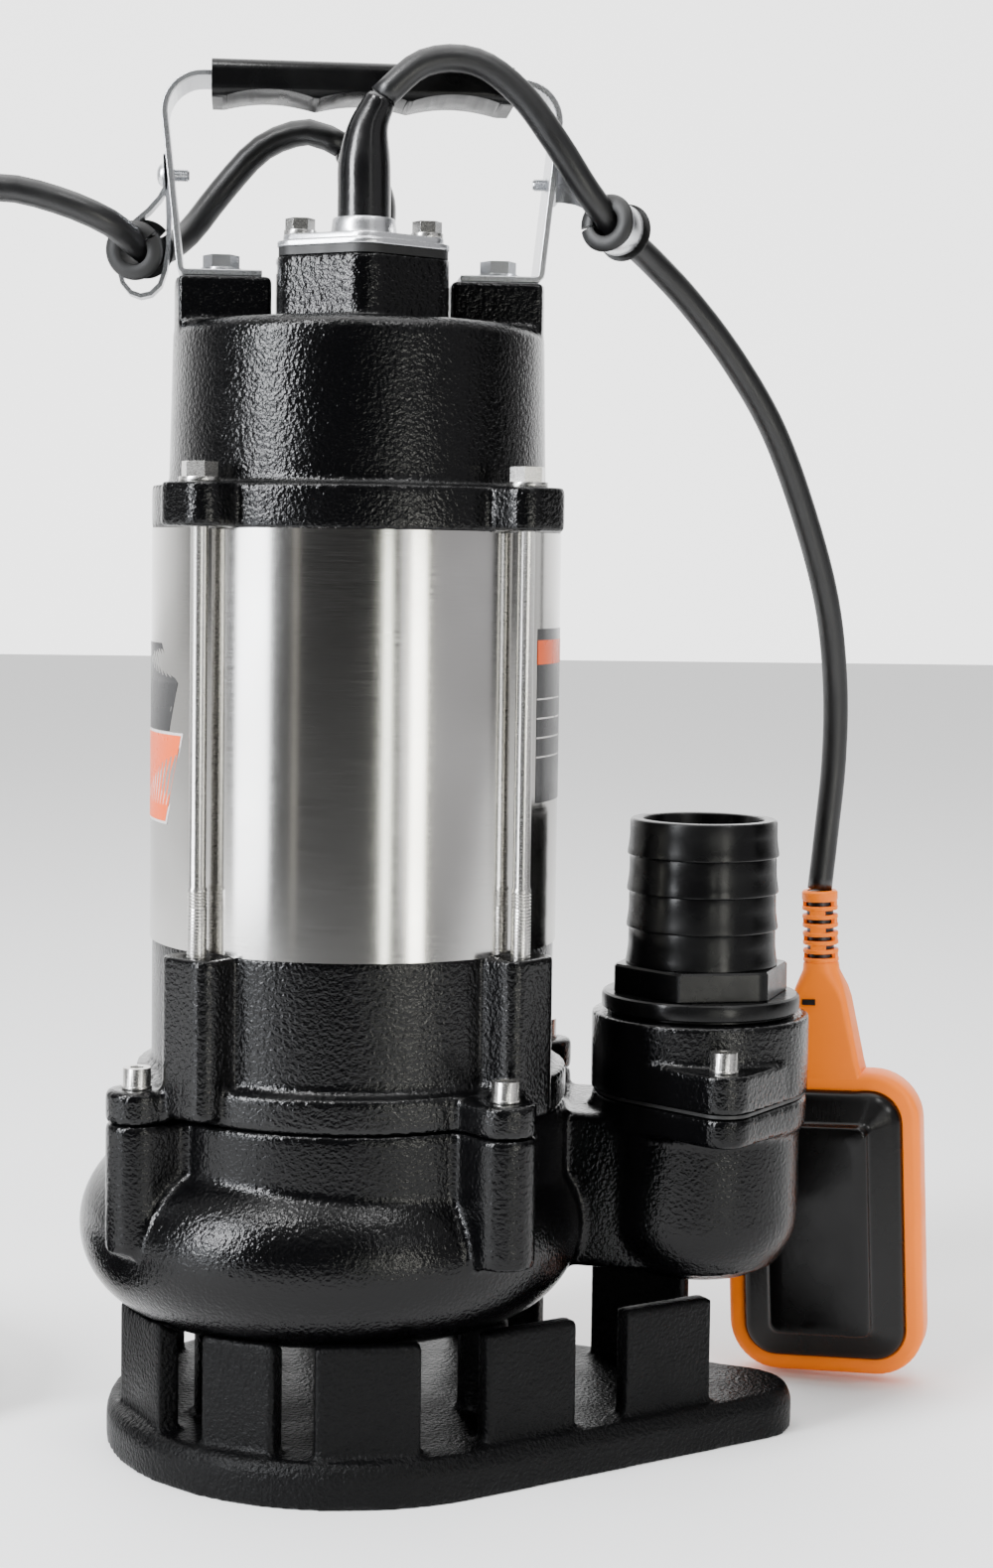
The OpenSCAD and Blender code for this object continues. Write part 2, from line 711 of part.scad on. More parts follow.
module handle_screws() {
    color(ZINC) for (x = [-1, 1]) translate([x * handle_screw_x, 0, boss_z + strap_t])
        hex_screw(5.77, 4, 2.95, 13, 6.3);
}

// Clip: a band round the bush and a tab screwed to the leg
module clip(i) {
    s = 2 * i - 1;
    leg_x = leg_foot_x + leg_lean * (clip_z - boss_z - 3) / (handle_top - bend_r - boss_z - 3);
    side = clip_side[i];
    difference() {
        union() {
            translate(bush_at[i]) rotate(bush_turn[i]) rotate([90, 0, 0])
                cylinder(r = bush_r - 0.8, h = 6.6, center = true);
            translate([s * (leg_x + 0.8), 0, clip_z + 0.5]) rotate([0, s * leg_angle, 0])
                cube([1.2, 12, 13], center = true);
            translate([0, clip_strap[i][0], 0]) rotate([90, 0, 0])
                linear_extrude(clip_strap[i][1], center = true)
                polygon([[s * (leg_x + 0.3), clip_z - 6.2], [s * (leg_x + 1.2), clip_z - 4.8],
                    side + [s * 0.9, 0.9], side]);
        }
        translate(bush_at[i]) rotate(bush_turn[i]) rotate([90, 0, 0]) {
            cylinder(r = bush_r - 2, h = 30, center = true);
            for (e = [-1, 1]) translate([0, 0, e * 8.8]) cylinder(r = bush_r + 0.2, h = 6.1, center = true);
        }
        translate([s * 50, 0, clip_z]) rotate([0, s * 90, 0]) cylinder(r = 2.2, h = 25);
    }
    translate([s * (leg_x + 1.4), 0, clip_z]) rotate([0, s * 90, 0]) {
        cylinder(r1 = 3.9, r2 = 2.4, h = 2.4);
        translate([0, 0, -8]) cylinder(r = 2, h = 9);
    }
}

module cord_clips() { color(ZINC) for (i = [0, 1]) clip(i); }

module cord_bushes() {
    color(RUBBER) for (i = [0, 1]) translate(bush_at[i]) rotate(bush_turn[i]) rotate([90, 0, 0])
        rotate_extrude() difference() {
            translate([cord_d / 2 + fit, -bush_len / 2]) square([bush_r - cord_d / 2, bush_len]);
            translate([bush_r - 2, -bush_len / 2 + 2.2]) square([5, bush_len - 4.4]);
        }
}

// ---- outlet ----

module outlet_gasket() {
    color("#3a3a3a") translate([outlet_x, 0, gasket_z]) linear_extrude(outlet_flange_z - gasket_z) difference() {
        outlet_outline(34.5);
        circle(27);
        for (s = [-1, 1]) translate([1, s * screw_y]) circle(2.75);
    }
}

module outlet_flange() {
    color(BLACK) difference() {
        translate([outlet_x, 0, 0]) {
            translate([0, 0, outlet_flange_z]) linear_extrude(flange_top - outlet_flange_z) outlet_outline(35);
            translate([0, 0, outlet_flange_z]) cylinder(r = 35.3, h = neck_top - outlet_flange_z);
        }
        translate([outlet_x, 0, 0]) {
            translate([0, 0, outlet_flange_z - 1]) cylinder(r = 27, h = 7);
            translate([0, 0, outlet_flange_z]) cylinder(r = 24.02, h = 40);
            for (s = [-1, 1]) translate([1, s * screw_y, outlet_flange_z - 1]) cylinder(r = 2.75, h = 20);
        }
    }
}

module outlet_screws() {
    color(STEEL) for (s = [-1, 1]) translate([outlet_x + 1, s * screw_y, flange_top]) cap_screw(19);
}

barb_count = 4;
barb_step = (hose_top - barb_z) / barb_count;

module hose_tail() {
    color(PLASTIC) translate([outlet_x, 0, 0]) difference() {
        union() {
            translate([0, 0, 120]) cylinder(r = 24, h = 20);
            translate([0, 0, neck_top]) cylinder(r = 30.5, h = 2);
            translate([0, 0, collar_low]) cylinder(r = 32.2, h = hex_z - collar_low);
            rotate([0, 0, 6]) translate([0, 0, hex_z - eps]) cylinder(r = 29.5, h = barb_z - hex_z, $fn = 6);
            rotate_extrude() {
                for (i = [0 : barb_count - 1]) translate([0, barb_z + i * barb_step]) polygon([
                    [0, -1], [hose_r + 0.7, -1], [hose_r + 0.7, 1.2], [hose_r, 3.4],
                    [hose_r, barb_step - 1.2], [hose_r - 0.5, barb_step], [0, barb_step]]);
            }
        }
        translate([0, 0, 110]) cylinder(r = hose_bore_r, h = 100);
    }
}

// ---- generic labels on the barrel ----

module barrel_labels() {
    color(PLASTIC) for (l = [[-32, 22, 208, 262], [150, 207, 200, 268]])
        rotate([0, 0, l[0]]) rotate_extrude(angle = l[1] - l[0])
            translate([barrel_r, l[2]]) square([0.25, l[3] - l[2]]);
}

// ---- float switch, drawn hanging below its pivot and facing -Y ----

frame_band = 6;
frame_depth = 15;
corner_r = 17;

module hang() {
    translate(float_pivot) rotate([0, -float_lean, 0]) rotate([0, 0, float_yaw]) children();
}

module float_outline(inset) { round_rect(float_w - 2 * inset, float_h - 2 * inset, corner_r - inset); }

module float_frame() {
    color(ORANGE) hang() difference() {
        union() {
            translate([0, 0, -float_drop - float_h / 2]) rotate([90, 0, 0])
                linear_extrude(frame_depth, center = true) float_outline(0);
            translate([0, 0, -relief_len]) cylinder(r = 6.2, h = relief_len - 0.3);
            translate([0, 0, -float_drop - 6]) cylinder(r1 = 15, r2 = 6.5, h = float_drop + 7 - relief_len);
        }
        translate([0, 0, -float_drop - float_h / 2]) rotate([90, 0, 0])
            linear_extrude(frame_depth + 2, center = true) float_outline(frame_band);
        translate([0, 0, -relief_len - 20]) cylinder(r = cord_d / 2, h = relief_len + 30);
    }
}

module float_shell(side) {
    shell = 2.4;
    translate([0, 0, -float_drop - float_h / 2]) rotate([90, 0, 0]) scale([1, 1, side]) difference() {
        union() {
            linear_extrude(frame_depth / 2 + 1.5) float_outline(frame_band + 0.05);
            linear_extrude(frame_depth / 2 + 5) float_outline(frame_band + 1.2);
            linear_extrude(float_t / 2 - 3) float_outline(frame_band + 4);
            linear_extrude(float_t / 2 - 1) float_outline(frame_band + 8);
            translate([0, -2, 0]) linear_extrude(float_t / 2) round_rect(float_w - 34, float_h - 32, 4);
        }
        translate([0, 0, -1]) linear_extrude(frame_depth / 2 + 3.5) float_outline(frame_band + 3.4);
        translate([0, 0, -1]) linear_extrude(float_t / 2 - shell) float_outline(frame_band + 8);
    }
}

module float_front_shell() { color(PLASTIC) hang() translate([0, -0.05, 0]) float_shell(1); }
module float_back_shell() { color(PLASTIC) hang() translate([0, 0.05, 0]) mirror([0, 1, 0]) float_shell(1); }

ball_r = 9;

module float_ball() {
    color(STEEL) hang() translate([0, 0, -float_drop - 84 + ball_r + 0.4]) sphere(ball_r);
}

module float_switch() {
    color("#26272b") hang() difference() {
        translate([0, 0, -float_drop - 12]) union() {
            translate([-13, -6, -16]) cube([26, 12, 18.5]);
            translate([0, 0, -74]) cylinder(r = ball_r + 2.2, h = 59);
        }
        translate([0, 0, -float_drop - 12 - 72]) cylinder(r = ball_r + 0.4, h = 56);
        translate([-2, -20, -float_drop - 80]) cube([4, 40, 8]);
    }
}

// ---- cords ----

module float_cable() { color(RUBBER) tube(float_route, same(float_route, cord_d / 2)); }
module power_cord() { color(RUBBER) tube(power_route, same(power_route, cord_d / 2)); }
module power_cord_tail() { color(RUBBER) tube(tail_route, same(tail_route, cord_d / 2)); }

module power_coil() {
    color(RUBBER) translate([coil_at.x, coil_at.y, 0]) rotate_extrude()
        translate([coil_mid_r, coil_half]) round_rect(2 * coil_half, 2 * coil_half, 4);
}

module power_plug() {
    color(PLASTIC) translate(plug_at) {
        rotate([90, 0, 0]) cylinder(r1 = 5.5, r2 = 8.5, h = 28);
        translate([0, -47, 0]) rotate([90, 0, 0]) linear_extrude(38, center = true) round_rect(36, 26, 9);
    }
    color(STEEL) for (x = [-1, 1]) translate(plug_at + [x * 9.5, -65, 0]) rotate([90, 0, 0])
        cylinder(r = 2.4, h = 20);
}

strainer_foot();
foot_screws();
scroll_casing();
impeller();
impeller_nut();
impeller_key();
casing_seal_ring();
oil_housing();
casing_screws();
oil_plug();
shaft_seal_seat();
shaft_seal_face();
shaft_seal_spring();
shaft_seal_collar();
lip_seal();
lower_bearing_outer();
lower_bearing_inner();
lower_bearing_balls();
rotor_shaft();
rotor_core();
rotor_cage_rings();
stator_core();
stator_windings();
thermal_protector();
motor_barrel();
lower_barrel_seal();
upper_barrel_seal();
upper_bearing_plate();
upper_bearing_outer();
upper_bearing_inner();
upper_bearing_balls();
top_cover();
tie_bolts();
run_capacitor();
terminal_block();
gland_gaskets();
gland_plates();
gland_screws();
float_cable_boot();
power_cord_boot();
handle_strap();
handle_grip();
handle_screws();
cord_clips();
cord_bushes();
outlet_gasket();
outlet_flange();
outlet_screws();
hose_tail();
barrel_labels();
float_frame();
float_front_shell();
float_back_shell();
float_ball();
float_switch();
float_cable();
power_cord();
power_coil();
power_cord_tail();
power_plug();
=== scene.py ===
"""Looks of a submersible sump pump: black cast housings, a steel motor barrel and a float switch.

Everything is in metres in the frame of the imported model: Z up along the shaft, +X towards the
outlet, -Y towards the front, and the ground at z = 0.
"""

import math

import bmesh
import bpy
from mathutils import Matrix, Vector


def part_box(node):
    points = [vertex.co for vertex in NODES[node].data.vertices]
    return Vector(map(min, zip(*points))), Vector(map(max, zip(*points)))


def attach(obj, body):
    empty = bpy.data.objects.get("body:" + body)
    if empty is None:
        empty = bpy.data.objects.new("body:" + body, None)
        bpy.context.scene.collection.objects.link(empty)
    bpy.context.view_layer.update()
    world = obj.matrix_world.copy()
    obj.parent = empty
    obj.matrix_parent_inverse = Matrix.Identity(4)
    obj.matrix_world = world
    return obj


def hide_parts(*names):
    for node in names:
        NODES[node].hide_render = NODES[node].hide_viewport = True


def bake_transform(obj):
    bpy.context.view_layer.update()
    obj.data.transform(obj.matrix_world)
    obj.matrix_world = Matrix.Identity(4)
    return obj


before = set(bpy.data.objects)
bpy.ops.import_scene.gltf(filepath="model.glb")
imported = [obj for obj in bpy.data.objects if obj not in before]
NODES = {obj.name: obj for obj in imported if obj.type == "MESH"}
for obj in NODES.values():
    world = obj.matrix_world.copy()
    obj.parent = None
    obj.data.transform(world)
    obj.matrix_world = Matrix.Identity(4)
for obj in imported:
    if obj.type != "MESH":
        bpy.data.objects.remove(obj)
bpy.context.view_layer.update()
MM = 0.001


# ---- camera, lights and floor ----

CAMERA_AT = Vector((-0.0340, -0.8583, 0.2820))
CAMERA_LOOKS = Vector((0.0920, 0.9934, -0.0692)).normalized()
CAMERA_ROLL = math.radians(0.82)


def make_camera():
    camera = bpy.data.cameras.new("camera")
    camera.lens = 61.6
    camera.sensor_width = 36
    camera.shift_y = -0.022
    camera.clip_start = 0.05
    camera.clip_end = 20
    right = CAMERA_LOOKS.cross(Vector((0, 0, 1))).normalized()
    up = right.cross(CAMERA_LOOKS)
    turned_right = math.cos(CAMERA_ROLL) * right + math.sin(CAMERA_ROLL) * up
    turned_up = turned_right.cross(CAMERA_LOOKS)
    axes = Matrix((turned_right, turned_up, -CAMERA_LOOKS)).transposed()
    holder = bpy.data.objects.new("camera", camera)
    holder.matrix_world = Matrix.Translation(CAMERA_AT) @ axes.to_4x4()
    bpy.context.scene.collection.objects.link(holder)
    bpy.context.scene.camera = holder


# Upright lights that face the shaft: name, angle to the right of the front and width as seen from
# the shaft in degrees, radiance, tint, lower and upper edge, and distance from the shaft in metres
STRIPS = (
    ("left_box", -60, 20, 10, (0.92, 0.95, 1.0), 0.0, 0.42, 1.4),
    ("left_spark", -57, 13, 55, (0.95, 0.97, 1.0), 0.42, 1.5, 1.4),
    ("left_fill", -80, 9, 0.6, (1, 1, 1), 0.0, 1.5, 1.4),
    ("left_glow", -35, 3, 0.45, (1.0, 0.95, 0.85), 0.0, 1.5, 1.4),
    ("middle_strip", 14, 4, 8, (0.98, 1.0, 0.9), 0.0, 0.31, 0.95),
    ("right_strip", 31, 8, 12, (1.0, 0.99, 0.90), 0.0, 0.31, 0.95),
    ("right_tall", 26, 9, 1.6, (1, 1, 1), 0.0, 1.5, 1.4),
    ("right_fill", 58, 38, 0.55, (0.98, 0.97, 1.0), 0.0, 1.5, 1.4),
)
# Square lights overhead: name, side in metres, watts, place, and the point they face
OVERHEAD = (
    ("top_box", 1.5, 22, (0, 0.3, 1.8), (0, 0.3, 0)),
    ("top_left", 0.25, 9, (-0.5, -0.55, 1.3), (0, 0, 0.1)),
    ("top_right", 0.2, 3, (0.3, -0.6, 1.2), (0, 0, 0.1)),
)
# A small lamp on the float
SPOT_AT = Vector((0.75, -1.0, 0.75))
SPOT_FACES = Vector((0.163, 0.04, 0.085))


def link_light(light, at, rotation):
    holder = bpy.data.objects.new(light.name, light)
    holder.location = at
    holder.rotation_euler = rotation
    bpy.context.scene.collection.objects.link(holder)


def facing(at, point):
    return (Vector(point) - Vector(at)).to_track_quat("-Z", "Y").to_euler()


def make_lights():
    for name, azimuth, spread, radiance, tint, low, high, away in STRIPS:
        turn = math.radians(azimuth)
        light = bpy.data.lights.new(name, "AREA")
        light.shape = "RECTANGLE"
        light.size = 2 * away * math.tan(math.radians(spread / 2))
        light.size_y = high - low
        light.color = tint
        light.energy = radiance * math.pi * light.size * light.size_y
        at = (away * math.sin(turn), -away * math.cos(turn), (low + high) / 2)
        link_light(light, at, (math.radians(90), 0, turn))
    for name, size, watts, at, point in OVERHEAD:
        light = bpy.data.lights.new(name, "AREA")
        light.size = size
        light.energy = watts
        link_light(light, at, facing(at, point))
    spot = bpy.data.lights.new("float_spot", "SPOT")
    spot.energy = 14
    spot.spot_size = math.radians(15)
    spot.spot_blend = 0.6
    spot.shadow_soft_size = 0.15
    link_light(spot, SPOT_AT, facing(SPOT_AT, SPOT_FACES))


# Each glow grows along one axis of the view direction, from start to end: axis, start, end, power, gain
WORLD_GLOW = (("Y", 0.0, 1.0, 1.7, 3.3), ("Z", 0.45, 1.0, 1.0, 1.2))
WORLD_REST = 0.02


def make_world():
    """Bright behind the object and overhead, and dim in front."""
    world = bpy.data.worlds.new("studio")
    world.use_nodes = True
    nodes, links = world.node_tree.nodes, world.node_tree.links
    coordinates = nodes.new("ShaderNodeTexCoord")
    split = nodes.new("ShaderNodeSeparateXYZ")
    links.new(coordinates.outputs["Generated"], split.inputs["Vector"])
    total = None
    for axis, start, end, power, gain in WORLD_GLOW:
        reach = nodes.new("ShaderNodeMapRange")
        reach.inputs["From Min"].default_value = start
        reach.inputs["From Max"].default_value = end
        links.new(split.outputs[axis], reach.inputs["Value"])
        curve = nodes.new("ShaderNodeMath")
        curve.operation = "POWER"
        curve.inputs[1].default_value = power
        links.new(reach.outputs["Result"], curve.inputs[0])
        scale = nodes.new("ShaderNodeMath")
        scale.operation = "MULTIPLY_ADD"
        scale.inputs[1].default_value = gain
        scale.inputs[2].default_value = WORLD_REST
        links.new(curve.outputs["Value"], scale.inputs[0])
        if total:
            both = nodes.new("ShaderNodeMath")
            both.operation = "ADD"
            links.new(total, both.inputs[0])
            links.new(scale.outputs["Value"], both.inputs[1])
            total = both.outputs["Value"]
        else:
            total = scale.outputs["Value"]
    nodes["Background"].inputs["Color"].default_value = (1, 1, 1, 1)
    links.new(total, nodes["Background"].inputs["Strength"])
    bpy.context.scene.world = world


def make_floor():
    """A pale floor with painted shade: its colour goes dark towards the front, so it is brightest where the
    object stands and behind it.
    """
    bpy.ops.mesh.primitive_plane_add(size=14)
    floor = bpy.context.object
    floor.name = "floor"
    s = Shader("floor", (0.92, 0.92, 0.92), 0.75)
    coordinates = s.add("ShaderNodeTexCoord")
    split = s.add("ShaderNodeSeparateXYZ")
    s.link(coordinates.outputs["Object"], split.inputs["Vector"])
    # painted shade: the floor's colour darkens from pale to near black towards the front, standing in for a
    # dim front of the room
    s.vary("Base Color", split.outputs["Y"], (0.05, 0.05, 0.05), (0.95, 0.95, 0.95), -0.8, -0.28)
    floor.data.materials.append(s.material)


# ---- materials ----


class Shader:
    """A Principled material built up node by node."""

    def __init__(self, name, color, rough, metal=0.0, **sockets):
        self.material = bpy.data.materials.new(name)
        self.material.use_nodes = True
        self.tree = self.material.node_tree
        self.nodes = self.tree.nodes
        self.surface = self.nodes["Principled BSDF"]
        self.set("Base Color", (*color, 1))
        self.set("Roughness", rough)
        self.set("Metallic", metal)
        for socket, value in sockets.items():
            self.set(socket.replace("_", " ").title().replace("Ior", "IOR"), value)
        self.height = None

    def set(self, socket, value):
        self.surface.inputs[socket].default_value = value

    def add(self, kind, **values):
        node = self.nodes.new(kind)
        for key, value in values.items():
            if key in node.bl_rna.properties:
                setattr(node, key, value)
            else:
                node.inputs[key.replace("_", " ").title()].default_value = value
        return node

    def link(self, a, b):
        self.tree.links.new(a, b)

    def place(self, stretch=(1, 1, 1)):
        """Object coordinates, stretched along each axis."""
        coordinates = self.add("ShaderNodeTexCoord")
        mapping = self.add("ShaderNodeMapping")
        mapping.inputs["Scale"].default_value = stretch
        self.link(coordinates.outputs["Object"], mapping.inputs["Vector"])
        return mapping.outputs["Vector"]

    def noise(self, size, detail=3.0, rough=0.5, stretch=(1, 1, 1)):
        """Noise whose features are about size metres across."""
        node = self.add("ShaderNodeTexNoise", scale=1 / size, detail=detail, roughness=rough)
        self.link(self.place(stretch), node.inputs["Vector"])
        return node.outputs["Fac"]

    def bump(self, height, depth, strength=1.0):
        """Adds a bump of depth metres on top of those already there."""
        node = self.add("ShaderNodeBump", distance=depth, strength=strength)
        self.link(height, node.inputs["Height"])
        if self.height:
            self.link(self.height, node.inputs["Normal"])
        self.height = node.outputs["Normal"]
        self.link(self.height, self.surface.inputs["Normal"])
        return self

    def vary(self, socket, fac, low, high, start=0.35, end=0.65):
        """Drives a socket between two values or colours as a factor goes from start to end."""
        ramp = self.add("ShaderNodeMapRange")
        ramp.inputs["From Min"].default_value = start
        ramp.inputs["From Max"].default_value = end
        self.link(fac, ramp.inputs["Value"])
        if isinstance(low, tuple):
            mix = self.add("ShaderNodeMix", data_type="RGBA")
            for socket_in, value in zip([i for i in mix.inputs if i.type == "RGBA"], (low, high)):
                socket_in.default_value = (*value, 1)
            self.link(ramp.outputs["Result"], mix.inputs["Factor"])
            out = [o for o in mix.outputs if o.type == "RGBA"][0]
            self.link(out, self.surface.inputs[socket])
        else:
            ramp.inputs["To Min"].default_value = low
            ramp.inputs["To Max"].default_value = high
            self.link(ramp.outputs["Result"], self.surface.inputs[socket])
        return self


def casting_paint(name, grain, depth, rough, shine):
    """Black paint over a sand casting: an orange-peel skin with a glossy clear top."""
    s = Shader(
        name, (0.0014, 0.0014, 0.0016), rough, specular_ior_level=0.10, coat_weight=shine,
        coat_roughness=0.10)
    s.bump(s.noise(0.02, detail=2), 0.0004, 0.3)
    s.bump(s.noise(grain, detail=2, rough=0.5), depth, 1.0)
    s.link(s.height, s.surface.inputs["Coat Normal"])
    s.vary("Roughness", s.noise(0.02), rough - 0.06, rough + 0.06)
    return s.material


def rubber(name, color, rough, grain=0.0006):
    s = Shader(name, color, rough)
    s.bump(s.noise(grain, detail=2), 0.00006, 0.6)
    s.vary("Roughness", s.noise(0.01), rough - 0.05, rough + 0.06)
    return s.material


def moulding(name, color, rough, grain=0.0008, depth=0.00008, **sockets):
    s = Shader(name, color, rough, **sockets)
    s.bump(s.noise(grain, detail=2), depth, 0.7)
    s.vary("Roughness", s.noise(0.015), rough - 0.05, rough + 0.07)
    return s.material


def steel(name, color, rough, stretch, size=0.0008, depth=0.00002):
    """Metal with fine marks drawn out along one direction."""
    s = Shader(name, color, rough, metal=1.0)
    marks = s.noise(size, detail=4, rough=0.7, stretch=stretch)
    s.bump(marks, depth, 0.5)
    s.vary("Roughness", marks, rough - 0.06, rough + 0.10)
    return s.material


def barrel_steel():
    """Rolled stainless sheet: fine marks that run round it, and broad soft bands."""
    s = Shader("barrel_steel", (0.56, 0.55, 0.53), 0.14, metal=1.0)
    marks = s.noise(0.006, detail=5, rough=0.7, stretch=(0.5, 0.5, 30))
    s.bump(marks, 0.00001, 0.5)
    s.bump(s.noise(0.05, detail=1, stretch=(1, 1, 0.25)), 0.0007, 0.3)
    s.vary("Roughness", marks, 0.10, 0.17)
    s.vary("Base Color", s.noise(0.05, detail=2), (0.50, 0.49, 0.47), (0.62, 0.61, 0.59))
    return s.material


def make_materials():
    return {
        "cover_paint": casting_paint("cover_paint", 0.0012, 0.00032, 0.17, 0.3),
        "scroll_paint": casting_paint("scroll_paint", 0.0012, 0.00026, 0.17, 0.18),
        "foot_paint": casting_paint("foot_paint", 0.0012, 0.0006, 0.42, 0.0),
        "barrel": barrel_steel(),
        "stainless": steel("stainless", (0.60, 0.59, 0.57), 0.24, (1, 1, 8)),
        "zinc": steel("zinc", (0.66, 0.67, 0.69), 0.28, (6, 1, 6), 0.001),
        "bearing": steel("bearing", (0.62, 0.62, 0.63), 0.14, (1, 1, 12)),
        "iron": steel("iron", (0.10, 0.10, 0.105), 0.5, (1, 1, 1), 0.0012, 0.00012),
        "laminations": steel("laminations", (0.20, 0.20, 0.21), 0.42, (0.2, 0.2, 40), 0.003, 0.00008),
        "aluminium": steel("aluminium", (0.60, 0.61, 0.62), 0.4, (1, 1, 1), 0.002, 0.00006),
        "copper": steel("copper", (0.52, 0.20, 0.09), 0.3, (1, 1, 12), 0.0012, 0.0001),
        "seal": rubber("seal", (0.004, 0.004, 0.004), 0.5),
        "boot": rubber("boot", (0.003, 0.003, 0.0033), 0.22, 0.001),
        "cord": rubber("cord", (0.003, 0.003, 0.0033), 0.40),
        "bush": rubber("bush", (0.0035, 0.0035, 0.0035), 0.55),
        "ceramic": moulding("ceramic", (0.7, 0.67, 0.6), 0.15),
        "carbon": moulding("carbon", (0.02, 0.02, 0.022), 0.35),
        "plastic": moulding("plastic", (0.002, 0.002, 0.0021), 0.28, specular_ior_level=0.2),
        "hose_tail": moulding(
            "hose_tail", (0.002, 0.002, 0.0021), 0.26, 0.003, 0.00005, specular_ior_level=0.2),
        "capacitor": moulding("capacitor", (0.7, 0.7, 0.71), 0.4),
        "terminal": moulding("terminal", (0.72, 0.70, 0.64), 0.4),
        "label_black": moulding("label_black", (0.010, 0.010, 0.011), 0.24, 0.004, 0.00002),
        "label_orange": moulding(
            "label_orange", (0.75, 0.09, 0.005), 0.3, 0.004, 0.00002, specular_ior_level=0.2),
        "label_pale": moulding("label_pale", (0.55, 0.53, 0.52), 0.3, 0.004, 0.00002),
        "float_orange": moulding(
            "float_orange", (0.97, 0.20, 0.001), 0.42, 0.002, 0.00006, specular_ior_level=0.2),
        "float_black": moulding(
            "float_black", (0.0022, 0.002, 0.002), 0.22, 0.002, 0.00004, specular_ior_level=0.2),
    }


# ---- mesh helpers ----


def link_object(name, mesh, material, body="pump", slot=None, replaced=()):
    piece = bpy.data.objects.new(name, mesh)
    bpy.context.scene.collection.objects.link(piece)
    mesh.materials.clear()
    mesh.materials.append(material)
    if body:
        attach(piece, body)
    if replaced:
        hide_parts(*replaced)
    return piece


def mesh_from(name, verts, faces):
    mesh = bpy.data.meshes.new(name)
    mesh.from_pydata([tuple(v) for v in verts], [], faces)
    mesh.update()
    work = bmesh.new()
    work.from_mesh(mesh)
    bmesh.ops.recalc_face_normals(work, faces=work.faces)
    work.to_mesh(mesh)
    work.free()
    mesh.polygons.foreach_set("use_smooth", [True] * len(mesh.polygons))
    return mesh


def loft(rings, closed_path=False, capped=True):
    """Vertices and faces of a skin through rings of equally many points."""
    count = len(rings[0])
    verts = [p for ring in rings for p in ring]
    faces = []
    spans = len(rings) if closed_path else len(rings) - 1
    for i in range(spans):
        j = (i + 1) % len(rings)
        for k in range(count):
            n = (k + 1) % count
            faces.append((i * count + k, i * count + n, j * count + n, j * count + k))
    if capped and not closed_path:
        faces.append(tuple(reversed(range(count))))
        faces.append(tuple(range((len(rings) - 1) * count, len(rings) * count)))
    return verts, faces


def along(points):
    """Unit direction of a path at each of its points."""
    last = len(points) - 1
    return [(points[min(i + 1, last)] - points[max(i - 1, 0)]).normalized() for i in range(last + 1)]


def tube_rings(points, radii, sides=14):
    """Rings round a path, carried along it without twisting."""
    ways = along(points)
    side = ways[0].orthogonal().normalized()
    rings = []
    for point, way, radius in zip(points, ways, radii):
        side = (side - side.dot(way) * way).normalized()
        other = way.cross(side)
        turns = [2 * math.pi * k / sides for k in range(sides)]
        rings.append([point + radius * (math.cos(a) * side + math.sin(a) * other) for a in turns])
    return rings


def smooth_path(points, step):
    """A Catmull-Rom curve through the points, sampled about every step metres."""
    ends = [2 * points[0] - points[1], *points, 2 * points[-1] - points[-2]]
    path = []
    for i in range(1, len(ends) - 2):
        p0, p1, p2, p3 = ends[i - 1 : i + 3]
        count = max(2, round((p2 - p1).length / step))
        for k in range(count):
            t = k / count
            path.append(
                0.5 * (2 * p1 + (p2 - p0) * t + (2 * p0 - 5 * p1 + 4 * p2 - p3) * t * t
                       + (3 * p1 - p0 - 3 * p2 + p3) * t ** 3)
            )
    path.append(points[-1].copy())
    return path


def metres(points):
    return [MM * Vector(p) for p in points]


def lathe_mesh(outline, place, segments=64):
    """Turned shape: (radius, height) pairs in millimetres round the z axis of place."""
    rings = []
    for radius, height in outline:
        turns = [2 * math.pi * k / segments for k in range(segments)]
        rings.append([
            place @ (MM * Vector((radius * math.cos(a), radius * math.sin(a), height))) for a in turns
        ])
    closed = outline[0] == outline[-1]
    return loft(rings[:-1] if closed else rings, closed_path=closed, capped=not closed)


def joined(name, parts, material, smooth_angle=40, **place):
    """One piece out of several (vertices, faces) parts, smooth but for its sharp edges."""
    verts, faces = [], []
    for part_verts, part_faces in parts:
        start = len(verts)
        verts += part_verts
        faces += [tuple(start + i for i in face) for face in part_faces]
    mesh = mesh_from(name, verts, faces)
    mesh.set_sharp_from_angle(angle=math.radians(smooth_angle))
    return link_object(name, mesh, material, **place)


def frame_at(at, way, side=None):
    """A matrix whose z axis runs along way and whose x axis leans towards side."""
    z = Vector(way).normalized()
    x = Vector(side) if side else z.orthogonal()
    x = (x - x.dot(z) * z).normalized()
    axes = Matrix((x, z.cross(x), z)).transposed()
    return Matrix.Translation(at) @ axes.to_4x4()


def moved(rings, place):
    """Rings of points in millimetres, put where place says."""
    return [[place @ (MM * Vector(p)) for p in ring] for ring in rings]


def strap_mesh(path, thick, width, place):
    """A flat strap along a path of (x, z) points in millimetres; its width is along y."""
    last = len(path) - 1
    rings = []
    for i, (x, z) in enumerate(path):
        ahead, behind = path[min(i + 1, last)], path[max(i - 1, 0)]
        way = Vector((ahead[0] - behind[0], 0, ahead[1] - behind[1])).normalized()
        out = thick / 2 * Vector((-way.z, 0, way.x))
        at = Vector((x, 0, z))
        half = Vector((0, width / 2, 0))
        rings.append([at + out - half, at + out + half, at - out + half, at - out - half])
    return loft(moved(rings, place))


